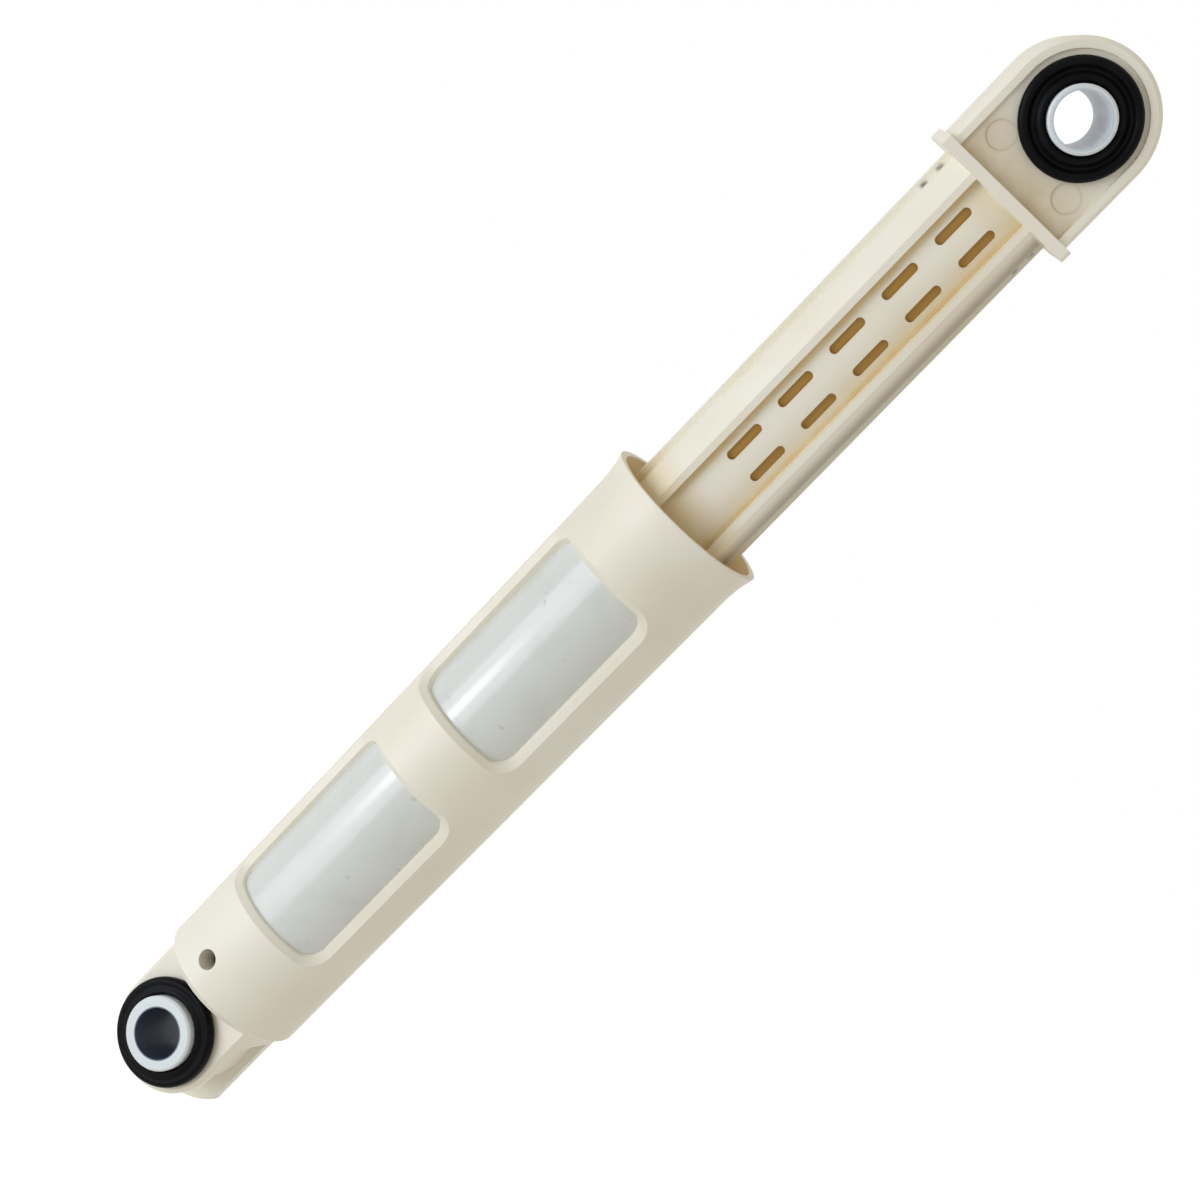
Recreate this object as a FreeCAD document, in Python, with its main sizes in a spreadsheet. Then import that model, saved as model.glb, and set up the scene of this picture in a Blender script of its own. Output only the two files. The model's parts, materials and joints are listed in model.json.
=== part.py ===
"""Washing machine shock absorber: a friction damper with an eye at each end.

The origin is the centre of the lower eye's bore, +Z runs along the damper to the upper eye, and the lower
eye's bore lies along Y. Sizes are in millimetres. The damper stands drawn out, as it is before fitting.
"""
import FreeCAD, Part
import math
import os
import re

import Sketcher

SHEET = "Sizes"

# Driving sizes, one row each: name, value, meaning.
SIZES = [
    ("bolt_radius", 5.2, "bore of both sleeves"),
    ("seat_radius", 9.4, "hole for the rubber bush in both eyes"),

    ("lug_wall", 3.2, "plastic around the lower bush"),
    ("lug_half_depth", 8.7, "lower lug, middle to face"),
    ("lug_bevel", 0.8, "bevelled outer edge of the lug"),
    ("lug_plate_wall", 6.2, "plastic under the lower bush on the lug's back plate"),
    ("lug_groove_width", 11.2, "groove around the lug's edge"),
    ("lug_groove_depth", 1.8, "groove around the lug's edge"),
    ("lug_groove_top", 8.3, "height where that groove ends"),

    ("tube_outer_radius", 14.1, "steel tube outside"),
    ("tube_wall", 0.75, "steel tube wall"),
    ("tube_foot", 26, "lower end of the steel tube"),
    ("tube_sink", 6.8, "barrel's mouth down to the upper end of the steel tube"),
    ("tube_lead", 0.3, "countersunk upper edge of the steel tube"),
    ("tube_ledge", 3.6, "ledge that the steel tube stands on"),
    ("lip_cover", 0.4, "plastic over the upper end of the steel tube"),

    ("shoulder_height", 12.9, "lower end of the round barrel"),
    ("shoulder_bevel", 1.5, "bevelled lower edge of the barrel"),
    ("barrel_wall", 1.95, "plastic around the steel tube at the shoulder"),
    ("barrel_growth", 0.6, "growth of the barrel's radius from shoulder to flare"),
    ("mouth_height", 149.8, "top of the barrel's rim"),
    ("flare_length", 7.4, "height of the flared mouth"),
    ("flare_growth", 0.95, "growth of the barrel's radius over the flare"),
    ("rim_wall", 1.3, "thickness of the rim's edge"),
    ("sump_floor", 16.5, "bottom of the hollow below the steel tube"),
    ("vent_radius", 2.1, "air hole in the barrel's front"),
    ("vent_side", 2.3, "air hole, off the barrel's middle"),
    ("vent_height", 20.3, "height of the air hole"),

    ("window_low", 34.5, "lower edge of the lower windows"),
    ("window_band", 15.2, "plastic between the lower and upper windows"),
    ("window_drop", 18.1, "barrel's mouth down to the upper windows"),
    ("window_angle", 106, "degrees that a window spans"),
    ("window_corner", 4.0, "rounded corner of a window"),
    ("window_bevel", 1.2, "bevelled outer edge of a window"),

    ("stem_shown", 82.2, "barrel's mouth to the stop flange with the damper drawn out"),
    ("stem_length", 123, "stop flange to the plunger's tip"),
    ("stem_clearance", 1.15, "steel tube to the round of the stem's four ridges"),
    ("fin_clearance", 0.75, "steel tube to the edge of a side fin"),
    ("fin_height", 1.3, "edge of a side fin down to the stem's flat side"),
    ("fin_half_thick", 1.3, "half the thickness of a side fin"),
    ("land_drop", 2.6, "round of a ridge in to its flat front"),
    ("panel_half_width", 6.1, "half the width of the sunk front panel"),
    ("panel_sink", 1.1, "flat front of a ridge in to the crown of the panel"),
    ("panel_offset", 4.5, "middle of the stem back to the centre of the crowned panel's curve"),
    ("core_wall", 2.0, "wall between the panel and the hollow core"),
    ("core_side_wall", 2.1, "wall between the flat side and the hollow core"),
    ("core_roof", 2.2, "solid plastic between the core and the flange"),

    ("slot_length", 8.6, "slot in the panel"),
    ("slot_width", 1.85, "slot in the panel"),
    ("slot_depth", 1.1, "blind slot in the panel"),
    ("slot_row", 3.0, "middle of the panel to a row of slots"),
    ("slot_first", 8.8, "stop flange to the middle of the nearest slot"),
    ("slot_pitch", 13.65, "slot to slot along the stem"),
    ("slot_count", 5, "slots in a row"),

    ("guide_clearance", 0.35, "steel tube to the guide rings at the plunger's tip"),
    ("guide_ring", 3, "height of a guide ring"),
    ("head_length", 26, "guide rings and lining together"),
    ("head_lead", 0.8, "slanted lower edge of the head"),
    ("lining_groove", 2.1, "depth of the groove that holds the lining"),
    ("lining_clearance", 0.05, "running gap on each side of the lining"),
    ("lining_wrap_angle", 356, "degrees that the lining strip wraps"),

    ("flange_drop", 20, "upper eye to the underside of the stop flange"),
    ("flange_thick", 2.3, "stop flange"),
    ("flange_side", 1.1, "stop flange past the side of the upper eye"),
    ("flange_front", 1.6, "stop flange past the face of the upper eye"),
    ("flange_corner", 1.0, "rounded corner of the stop flange"),

    ("eye_turn_angle", 25, "degrees that the upper eye is turned from the lower one"),
    ("eye_wall", 5.2, "plastic around the upper bush"),
    ("eye_half_depth", 8.7, "upper eye, middle to the face of its rim"),
    ("eye_sink", 0.8, "depth of the sunk face inside the rim"),
    ("eye_rim", 2.2, "width of the rim"),
    ("eye_bevel", 0.8, "bevelled outer edge of the rim"),
    ("mark_radius", 2.75, "ejector pin mark"),
    ("mark_depth", 0.2, "ejector pin mark"),
    ("mark_side", 8.3, "middle of the eye to an ejector pin mark"),
    ("mark_drop", 11.5, "eye's bore down to an ejector pin mark"),

    ("bush_lip", 1.9, "rubber collar past the hole in the eye"),
    ("bush_collar", 2.8, "thickness of the collar"),
    ("bush_bevel", 0.8, "slanted outer edge of the collar"),
    ("lower_sleeve_wall", 2.4, "lower sleeve"),
    ("lower_sleeve_proud", 1.5, "lower sleeve past the face of its bush"),
    ("upper_sleeve_wall", 1.1, "upper sleeve"),
    ("upper_sleeve_proud", 1.3, "upper sleeve past the face of its bush"),
    ("sleeve_edge", 0.4, "bevelled outer edge of both sleeves"),
]
NAMES = {name for name, _, _ in SIZES}

# Heights, radii and half sizes that several features share, as formulas of the driving sizes.
LUG_RADIUS = "(seat_radius + lug_wall)"
PLATE_RADIUS = "(seat_radius + lug_plate_wall)"
TUBE_INNER = "(tube_outer_radius - tube_wall)"
TUBE_TOP = "(mouth_height - tube_sink)"
WINDOW_LENGTH = "((mouth_height - window_drop - window_low - window_band) / 2)"
BARREL_FOOT = "(tube_outer_radius + barrel_wall)"
BARREL_TOP = f"({BARREL_FOOT} + barrel_growth)"
RIM_RADIUS = f"({BARREL_TOP} + flare_growth)"
EYE_SPAN = "(mouth_height + stem_shown + flange_drop)"
TIP = "(-flange_drop - stem_length)"
STEM_RADIUS = f"({TUBE_INNER} - stem_clearance)"
FIN_EDGE = f"({TUBE_INNER} - fin_clearance)"
STEM_SIDE = f"({FIN_EDGE} - fin_height)"
LAND = f"({STEM_RADIUS} - land_drop)"
PANEL_CURVE = f"({LAND} - panel_sink + panel_offset)"
SLOT_FLOOR = f"(sqrt({PANEL_CURVE}^2 - slot_row^2) - panel_offset - slot_depth)"
HEAD_RADIUS = f"({TUBE_INNER} - guide_clearance)"
LINING_SEAT = f"({HEAD_RADIUS} - lining_groove)"
EYE_RADIUS = "(seat_radius + eye_wall)"
EYE_FOOT = "(flange_thick / 2 - flange_drop)"
EYE_WEB = "(eye_half_depth - eye_sink)"
FLANGE_SIDE = f"({EYE_RADIUS} + flange_side)"
FLANGE_FRONT = "(eye_half_depth + flange_front)"
LOWER_SLEEVE = "(bolt_radius + lower_sleeve_wall)"
UPPER_SLEEVE = "(bolt_radius + upper_sleeve_wall)"

doc = FreeCAD.newDocument("shock_absorber")


def make_sheet():
    """Write every driving size to the spreadsheet, under its own name."""
    sheet = doc.addObject("Spreadsheet::Sheet", SHEET)
    for row, (name, size, meaning) in enumerate(SIZES, start=1):
        sheet.set(f"A{row}", meaning)
        sheet.set(f"B{row}", str(size))
        sheet.setAlias(f"B{row}", name)
    doc.recompute()
    return sheet


sheet = make_sheet()


def tied(formula):
    """Return a formula with each size's name pointing at its spreadsheet cell."""
    return re.sub(r"[a-z_]+", lambda word: f"{SHEET}.{word[0]}" if word[0] in NAMES else word[0], formula)


def value(formula):
    """Return the number that a formula gives now."""
    return float(sheet.evalExpression(tied(formula)))


def minus(formula):
    """Return a formula of the opposite sign."""
    return "0" if formula == "0" else f"-({formula})"


def bind(item, **formulas):
    """Tie an object's properties to formulas of the driving sizes."""
    for name, formula in formulas.items():
        item.setExpression(name, tied(formula))


def new_body(name):
    """Start a sub-part, named as its file."""
    body = doc.addObject("PartDesign::Body", name)
    body.Label = name
    return body


def raise_to_upper_eye(body, turned):
    """Move a sub-part drawn about the upper eye to its place on the damper."""
    if turned:
        body.Placement = FreeCAD.Placement(FreeCAD.Vector(), FreeCAD.Rotation(FreeCAD.Vector(0, 0, 1), 1))
        body.setExpression("Placement.Rotation.Angle", tied("eye_turn_angle"))
    body.setExpression("Placement.Base.z", tied(EYE_SPAN))


def origin_item(body, role):
    """Return one of a sub-part's own origin planes or axes."""
    return next(item for item in body.Origin.OriginFeatures if item.Role == role)


def new_sketch(body, plane, name, height="0"):
    """Start a sketch on a plane of the sub-part's origin, or at a height over it."""
    sketch = body.newObject("Sketcher::SketchObject", name)
    sketch.AttachmentSupport = [(origin_item(body, plane), "")]
    sketch.MapMode = "FlatFace"
    if height != "0":
        sketch.setExpression("AttachmentOffset.Base.z", tied(height))
    return sketch


def hold(sketch, constraint, formula):
    """Add a constraint whose size follows a formula."""
    index = sketch.addConstraint(constraint)
    name = f"size_{index}"
    sketch.renameConstraint(index, name)
    sketch.setExpression(f"Constraints.{name}", tied(formula))


def pin(sketch, geometry, point, across=None, along=None):
    """Hold a point of a sketch at its distances from the sketch's two axes."""
    for kind, axis, formula in (("DistanceX", -2, across), ("DistanceY", -1, along)):
        if formula == "0":
            sketch.addConstraint(Sketcher.Constraint("PointOnObject", geometry, point, axis))
        elif formula:
            hold(sketch, Sketcher.Constraint(kind, -1, 1, geometry, point, value(formula)), formula)


def add_arc(sketch, start, end, centre, turn):
    """Add an arc and return its index and which of its two ends comes first."""
    radius = (start - centre).Length
    angles = [math.atan2(point.y - centre.y, point.x - centre.x) for point in (start, end)]
    if turn == "cw":
        angles.reverse()
    if angles[1] <= angles[0]:
        angles[1] += 2 * math.pi
    circle = Part.Circle(centre, FreeCAD.Vector(0, 0, 1), radius)
    index = sketch.addGeometry(Part.ArcOfCircle(circle, *angles), False)
    return index, (2, 1) if turn == "cw" else (1, 2)


def draw(sketch, corners):
    """Draw a closed outline. A corner is (x, y), or (x, y, centre x, centre y, turn) where an arc starts."""
    places = [FreeCAD.Vector(value(corner[0]), value(corner[1]), 0) for corner in corners]
    sides = []
    for number, corner in enumerate(corners):
        start, end = places[number], places[(number + 1) % len(places)]
        if len(corner) == 2:
            sides.append((sketch.addGeometry(Part.LineSegment(start, end), False), (1, 2)))
        else:
            centre = FreeCAD.Vector(value(corner[2]), value(corner[3]), 0)
            sides.append(add_arc(sketch, start, end, centre, corner[4]))
    for number, (index, ends) in enumerate(sides):
        following, next_ends = sides[(number + 1) % len(sides)]
        sketch.addConstraint(Sketcher.Constraint("Coincident", index, ends[1], following, next_ends[0]))
    for number, (index, ends) in enumerate(sides):
        corner = corners[number]
        pin(sketch, index, ends[0], corner[0], corner[1])
        if len(corner) > 2:
            chord = places[(number + 1) % len(places)] - places[number]
            if abs(chord.x) > abs(chord.y):
                pin(sketch, index, 3, along=corner[3])
            else:
                pin(sketch, index, 3, across=corner[2])


def draw_circle(sketch, across, along, radius):
    """Draw a circle at a place of a sketch."""
    centre = FreeCAD.Vector(value(across), value(along), 0)
    circle = Part.Circle(centre, FreeCAD.Vector(0, 0, 1), value(radius))
    index = sketch.addGeometry(circle, False)
    pin(sketch, index, 3, across, along)
    hold(sketch, Sketcher.Constraint("Radius", index, value(radius)), radius)


def add_feature(body, kind, name, sketch):
    """Add a feature that reads a sketch."""
    feature = body.newObject(f"PartDesign::{kind}", name)
    feature.Profile = sketch
    return feature


def turn_profile(body, kind, name, sketch, angle=None):
    """Revolve a sketch about its vertical axis, all round or over an angle shared to both sides."""
    feature = add_feature(body, kind, name, sketch)
    feature.ReferenceAxis = (sketch, ["V_Axis"])
    feature.Angle = 360
    if angle:
        feature.Midplane = True
        bind(feature, Angle=angle)
    doc.recompute()
    return feature


def pad_one_way(body, name, sketch, length, reverse):
    """Pad a sketch to one side of its plane."""
    feature = add_feature(body, "Pad", name, sketch)
    feature.Reversed = reverse
    bind(feature, Length=length)
    doc.recompute()


def pad_both_ways(body, name, sketch, length):
    """Pad a sketch equally to both sides of its plane."""
    feature = add_feature(body, "Pad", name, sketch)
    feature.SideType = "Symmetric"
    bind(feature, Length=length)
    doc.recompute()


def cut_both_ways(body, name, sketch, length=None):
    """Cut a sketch equally to both sides of its plane, right through unless a length is given."""
    feature = add_feature(body, "Pocket", name, sketch)
    feature.SideType = "Symmetric"
    if length:
        bind(feature, Length=length)
    else:
        feature.Type = "ThroughAll"
    doc.recompute()
    return feature


def cut_one_way(body, name, sketch, length, reverse):
    """Cut a sketch to one side of its plane."""
    feature = add_feature(body, "Pocket", name, sketch)
    feature.Reversed = reverse
    bind(feature, Length=length)
    doc.recompute()
    return feature


def edges_where(feature, test):
    """Return the names of a feature's edges that pass a test."""
    return [f"Edge{number}" for number, edge in enumerate(feature.Shape.Edges, start=1) if test(edge)]


def ease_edges(body, kind, name, test, **formulas):
    """Fillet or chamfer the edges of the sub-part so far that pass a test."""
    base = body.Tip
    names = edges_where(base, test)
    if not names:
        raise RuntimeError(f"{name} finds no edge")
    feature = body.newObject(f"PartDesign::{kind}", name)
    feature.Base = (base, names)
    bind(feature, **formulas)
    doc.recompute()
    return feature


def ends_of(edge):
    """Return the two end points of an edge."""
    return edge.Vertexes[0].Point, edge.Vertexes[-1].Point


def off_axis(point):
    """Return a point's distance from the damper's axis."""
    return math.hypot(point.x, point.y)


def near(one, other, slack=0.01):
    """Tell whether two lengths agree."""
    return abs(one - other) < slack


def make_window_cutter():
    """Make the four round-cornered blocks that leave the windows in the barrel's wall."""
    body = new_body("window_cutter")
    section = new_sketch(body, "YZ_Plane", "window_section")
    outer = f"({RIM_RADIUS} + rim_wall)"
    for low in ("window_low", f"(window_low + {WINDOW_LENGTH} + window_band)"):
        high = f"{low} + {WINDOW_LENGTH}"
        draw(section, [(TUBE_INNER, low), (outer, low), (outer, high), (TUBE_INNER, high)])
    back = turn_profile(body, "Revolution", "back_windows", section, angle="window_angle")
    pair = body.newObject("PartDesign::PolarPattern", "front_and_back_windows")
    pair.Originals = [back]
    pair.Axis = (origin_item(body, "Z_Axis"), [""])
    pair.Occurrences = 2
    pair.Angle = 360
    body.Tip = pair
    doc.recompute()

    def runs_outwards(edge):
        one, other = ends_of(edge)
        return near(one.z, other.z) and not near(off_axis(one), off_axis(other))

    ease_edges(body, "Fillet", "window_corners", runs_outwards, Radius="window_corner")
    return body


def make_barrel():
    """Mould the outer barrel, with its lug, hollow, windows and air hole."""
    body = new_body("barrel")

    outside = new_sketch(body, "XZ_Plane", "barrel_outside")
    flare_start = "(mouth_height - flare_length)"
    flare_radius = "((flare_length^2 + flare_growth^2) / (2 * flare_growth))"
    draw(outside, [
        ("0", "shoulder_height"),
        (f"{BARREL_FOOT} - shoulder_bevel", "shoulder_height"),
        (BARREL_FOOT, "shoulder_height + shoulder_bevel"),
        (BARREL_TOP, flare_start, f"{BARREL_TOP} + {flare_radius}", flare_start, "cw"),
        (RIM_RADIUS, "mouth_height"),
        ("0", "mouth_height"),
    ])
    turn_profile(body, "Revolution", "barrel_form", outside)

    lug = new_sketch(body, "XZ_Plane", "lug_outline")
    lug_root = "(shoulder_height + shoulder_bevel)"
    draw(lug, [
        (LUG_RADIUS, lug_root),
        (minus(LUG_RADIUS), lug_root),
        (minus(LUG_RADIUS), "0", "0", "0", "ccw"),
        (LUG_RADIUS, "0"),
    ])
    pad_both_ways(body, "lug", lug, "2 * lug_half_depth")

    plate = new_sketch(body, "XZ_Plane", "lug_plate_outline", height="-lug_half_depth")
    plate_corner = f"(-sqrt({PLATE_RADIUS}^2 - {LUG_RADIUS}^2))"
    draw(plate, [
        (LUG_RADIUS, "0"),
        (minus(LUG_RADIUS), "0"),
        (minus(LUG_RADIUS), plate_corner, "0", "0", "ccw"),
        (LUG_RADIUS, plate_corner),
    ])
    pad_one_way(body, "lug_plate", plate, "lug_half_depth - lug_groove_width / 2", reverse=False)
    depth = value("lug_half_depth")
    below_root = value("shoulder_height") / 2

    def round_the_lug(edge):
        ends = ends_of(edge)
        flat = near(ends[0].y, ends[1].y) and near(abs(ends[0].y), depth)
        return flat and any(point.z < below_root for point in ends)

    ease_edges(body, "Chamfer", "lug_edge", round_the_lug, Size="lug_bevel")

    groove = new_sketch(body, "XZ_Plane", "lug_groove_outline")
    groove_floor = f"({LUG_RADIUS} - lug_groove_depth)"
    groove_edge = f"({LUG_RADIUS} + lug_groove_depth)"
    draw(groove, [
        (groove_edge, "lug_groove_top"),
        (groove_floor, "lug_groove_top"),
        (groove_floor, "0", "0", "0", "cw"),
        (minus(groove_floor), "0"),
        (minus(groove_floor), "lug_groove_top"),
        (minus(groove_edge), "lug_groove_top"),
        (minus(groove_edge), "0", "0", "0", "ccw"),
        (groove_edge, "0"),
    ])
    cut_both_ways(body, "lug_groove", groove, "lug_groove_width")

    seat = new_sketch(body, "XZ_Plane", "lower_bush_seat")
    draw_circle(seat, "0", "0", "seat_radius")
    cut_both_ways(body, "lower_eye", seat)

    hollow = new_sketch(body, "XZ_Plane", "barrel_hollow")
    sump_radius = "tube_outer_radius - tube_ledge"
    draw(hollow, [
        ("0", "sump_floor"),
        (sump_radius, "sump_floor"),
        (sump_radius, "tube_foot"),
        ("tube_outer_radius", "tube_foot"),
        ("tube_outer_radius", TUBE_TOP),
        ("tube_outer_radius - lip_cover", TUBE_TOP),
        (f"{RIM_RADIUS} - rim_wall", "mouth_height"),
        ("0", "mouth_height"),
    ])
    turn_profile(body, "Groove", "hollow", hollow)

    air = new_sketch(body, "XZ_Plane", "air_hole_outline")
    draw_circle(air, "-vent_side", "vent_height", "vent_radius")
    cut_one_way(body, "air_hole", air, f"2 * {BARREL_FOOT}", reverse=True)

    windows = body.newObject("PartDesign::Boolean", "windows")
    windows.Type = "Cut"
    windows.Group = [make_window_cutter()]
    doc.recompute()
    lowest = value("window_low - window_bevel")
    highest = value("mouth_height - window_drop + window_bevel")
    mid_wall = value("tube_outer_radius + barrel_wall / 2")

    def on_outside(edge):
        span = edge.LastParameter - edge.FirstParameter
        points = [edge.valueAt(edge.FirstParameter + share * span) for share in (0, 0.5, 1)]
        outside = all(off_axis(point) > mid_wall for point in points)
        return outside and lowest < edge.BoundBox.ZMin and edge.BoundBox.ZMax < highest

    ease_edges(body, "Chamfer", "window_edges", on_outside, Size="window_bevel")
    return body


def make_tube():
    """Roll the steel tube that the lining rubs on."""
    body = new_body("friction_tube")
    section = new_sketch(body, "XZ_Plane", "tube_section")
    draw(section, [
        (TUBE_INNER, "tube_foot"),
        ("tube_outer_radius", "tube_foot"),
        ("tube_outer_radius", TUBE_TOP),
        (f"{TUBE_INNER} + tube_lead", TUBE_TOP),
        (TUBE_INNER, f"{TUBE_TOP} - tube_lead"),
    ])
    turn_profile(body, "Revolution", "tube", section)
    return body


def stem_outline():
    """Return the stem's section: half of it, then the same half turned round."""
    side_top = f"sqrt({STEM_RADIUS}^2 - {STEM_SIDE}^2)"
    land_side = f"sqrt({STEM_RADIUS}^2 - {LAND}^2)"
    panel_side = f"sqrt({PANEL_CURVE}^2 - panel_half_width^2) - panel_offset"
    half = [
        (FIN_EDGE, "-fin_half_thick"),
        (FIN_EDGE, "fin_half_thick"),
        (STEM_SIDE, "fin_half_thick"),
        (STEM_SIDE, side_top, "0", "0", "ccw"),
        (land_side, LAND),
        ("panel_half_width", LAND),
        ("panel_half_width", panel_side, "0", "-panel_offset", "ccw"),
        ("-panel_half_width", panel_side),
        ("-panel_half_width", LAND),
        (minus(land_side), LAND, "0", "0", "ccw"),
        (minus(STEM_SIDE), side_top),
        (minus(STEM_SIDE), "fin_half_thick"),
    ]
    turned = [tuple(minus(size) for size in corner[:4]) + corner[4:] for corner in half]
    return half + turned


def cut_slots(body, side, floor, outward):
    """Sink two rows of blind slots into one panel of the stem, from their floor out."""
    slots = new_sketch(body, "XZ_Plane", f"{side}_slot_outlines", height=floor)
    middle = "(-flange_drop - slot_first)"
    straight = "(slot_length - slot_width) / 2"
    for row in ("slot_row", "-slot_row"):
        left, right = f"{row} - slot_width / 2", f"{row} + slot_width / 2"
        low, high = f"{middle} - {straight}", f"{middle} + {straight}"
        draw(slots, [
            (right, low),
            (right, high, row, high, "ccw"),
            (left, high),
            (left, low, row, low, "ccw"),
        ])
    first_slots = cut_one_way(body, f"{side}_slots", slots, STEM_RADIUS, reverse=outward)
    rows = body.newObject("PartDesign::LinearPattern", f"{side}_slot_rows")
    rows.Originals = [first_slots]
    rows.Direction = (origin_item(body, "Z_Axis"), [""])
    rows.Reversed = True
    bind(rows, Length="slot_pitch * (slot_count - 1)", Occurrences="slot_count")
    body.Tip = rows
    doc.recompute()


def make_plunger():
    """Mould the plunger: head, hollow slotted stem, stop flange and upper eye."""
    body = new_body("plunger")

    stem = new_sketch(body, "XY_Plane", "stem_section", height="-flange_drop")
    draw(stem, stem_outline())
    pad_one_way(body, "stem", stem, "stem_length - head_length", reverse=True)

    head = new_sketch(body, "XZ_Plane", "head_profile")
    ring_top = f"{TIP} + guide_ring"
    head_top = f"{TIP} + head_length"
    draw(head, [
        ("0", TIP),
        (f"{HEAD_RADIUS} - head_lead", TIP),
        (HEAD_RADIUS, f"{TIP} + head_lead"),
        (HEAD_RADIUS, ring_top),
        (LINING_SEAT, ring_top),
        (LINING_SEAT, f"{head_top} - guide_ring"),
        (HEAD_RADIUS, f"{head_top} - guide_ring"),
        (HEAD_RADIUS, head_top),
        ("0", head_top),
    ])
    turn_profile(body, "Revolution", "head", head)

    flange = new_sketch(body, "XY_Plane", "flange_outline", height="-flange_drop")
    draw(flange, [
        (FLANGE_SIDE, FLANGE_FRONT),
        (minus(FLANGE_SIDE), FLANGE_FRONT),
        (minus(FLANGE_SIDE), minus(FLANGE_FRONT)),
        (FLANGE_SIDE, minus(FLANGE_FRONT)),
    ])
    pad_one_way(body, "stop_flange", flange, "flange_thick", reverse=False)
    reach = value(FLANGE_SIDE)
    ease_edges(
        body, "Fillet", "flange_corners",
        lambda edge: all(near(abs(point.x), reach) for point in ends_of(edge))
        and near(edge.BoundBox.ZLength, value("flange_thick")),
        Radius="flange_corner",
    )

    web = new_sketch(body, "XZ_Plane", "eye_web_outline")
    draw(web, [
        (EYE_RADIUS, EYE_FOOT),
        (EYE_RADIUS, "0", "0", "0", "ccw"),
        (minus(EYE_RADIUS), "0"),
        (minus(EYE_RADIUS), EYE_FOOT),
    ])
    pad_both_ways(body, "eye_web", web, f"2 * {EYE_WEB}")

    rim = new_sketch(body, "XZ_Plane", "eye_rim_outline")
    rim_inside = f"({EYE_RADIUS} - eye_rim)"
    draw(rim, [
        (EYE_RADIUS, EYE_FOOT),
        (EYE_RADIUS, "0", "0", "0", "ccw"),
        (minus(EYE_RADIUS), "0"),
        (minus(EYE_RADIUS), EYE_FOOT),
        (minus(rim_inside), EYE_FOOT),
        (minus(rim_inside), "0", "0", "0", "cw"),
        (rim_inside, "0"),
        (rim_inside, EYE_FOOT),
    ])
    pad_both_ways(body, "eye_rim_band", rim, "2 * eye_half_depth")
    face = value("eye_half_depth")
    outside = value(EYE_RADIUS)

    def round_the_eye(edge):
        ends = ends_of(edge)
        flat = near(ends[0].y, ends[1].y) and near(abs(ends[0].y), face)
        return flat and all(near(abs(point.x), outside) for point in ends)

    ease_edges(body, "Chamfer", "eye_edge", round_the_eye, Size="eye_bevel")

    seat = new_sketch(body, "XZ_Plane", "upper_bush_seat")
    draw_circle(seat, "0", "0", "seat_radius")
    cut_both_ways(body, "upper_eye", seat)

    core = new_sketch(body, "XY_Plane", "core_section", height=TIP)
    core_half = f"({STEM_SIDE} - core_side_wall)"
    core_side = f"sqrt(({PANEL_CURVE} - core_wall)^2 - {core_half}^2) - panel_offset"
    draw(core, [
        (core_half, core_side, "0", "-panel_offset", "ccw"),
        (minus(core_half), core_side),
        (minus(core_half), minus(core_side), "0", "panel_offset", "ccw"),
        (core_half, minus(core_side)),
    ])
    cut_one_way(body, "core", core, "stem_length - core_roof", reverse=True)

    cut_slots(body, "front", SLOT_FLOOR, outward=True)
    cut_slots(body, "back", minus(SLOT_FLOOR), outward=False)

    marks = new_sketch(body, "XZ_Plane", "pin_mark_outlines", height=EYE_WEB)
    for side in ("mark_side", "-mark_side"):
        draw_circle(marks, side, "-mark_drop", "mark_radius")
    cut_one_way(body, "pin_marks", marks, "mark_depth", reverse=False)
    raise_to_upper_eye(body, turned=True)
    return body


def make_lining():
    """Wrap the foam lining strip round the plunger's head."""
    body = new_body("friction_lining")
    section = new_sketch(body, "XZ_Plane", "lining_section")
    inside = f"{LINING_SEAT} + lining_clearance"
    outside = f"{TUBE_INNER} - lining_clearance"
    low = f"{TIP} + guide_ring + lining_clearance"
    high = f"{TIP} + head_length - guide_ring - lining_clearance"
    draw(section, [(inside, low), (outside, low), (outside, high), (inside, high)])
    turn_profile(body, "Revolution", "lining", section, angle="lining_wrap_angle")
    raise_to_upper_eye(body, turned=False)
    return body


def make_bush(name, sleeve_radius, seat_half):
    """Mould a rubber bush with a slant-edged collar on both faces of its eye."""
    body = new_body(name)
    section = new_sketch(body, "XY_Plane", f"{name}_section")
    collar_radius = "seat_radius + bush_lip"
    collar_top = f"{seat_half} + bush_collar"
    half = [
        (sleeve_radius, collar_top),
        (f"{collar_radius} - bush_bevel", collar_top),
        (collar_radius, f"{collar_top} - bush_bevel"),
        (collar_radius, seat_half),
        ("seat_radius", seat_half),
    ]
    mirrored = [(across, minus(along)) for across, along in reversed(half)]
    draw(section, half + mirrored)
    turn_profile(body, "Revolution", f"{name}_form", section)
    return body


def make_sleeve(name, radius, half_length):
    """Turn a sleeve that the fixing bolt passes through."""
    body = new_body(name)
    section = new_sketch(body, "XY_Plane", f"{name}_section")
    half = [
        ("bolt_radius", minus(half_length)),
        (f"{radius} - sleeve_edge", minus(half_length)),
        (radius, minus(f"{half_length} - sleeve_edge")),
    ]
    mirrored = [(across, minus(along)) for across, along in reversed(half)]
    draw(section, half + mirrored)
    turn_profile(body, "Revolution", f"{name}_form", section)
    return body


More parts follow.
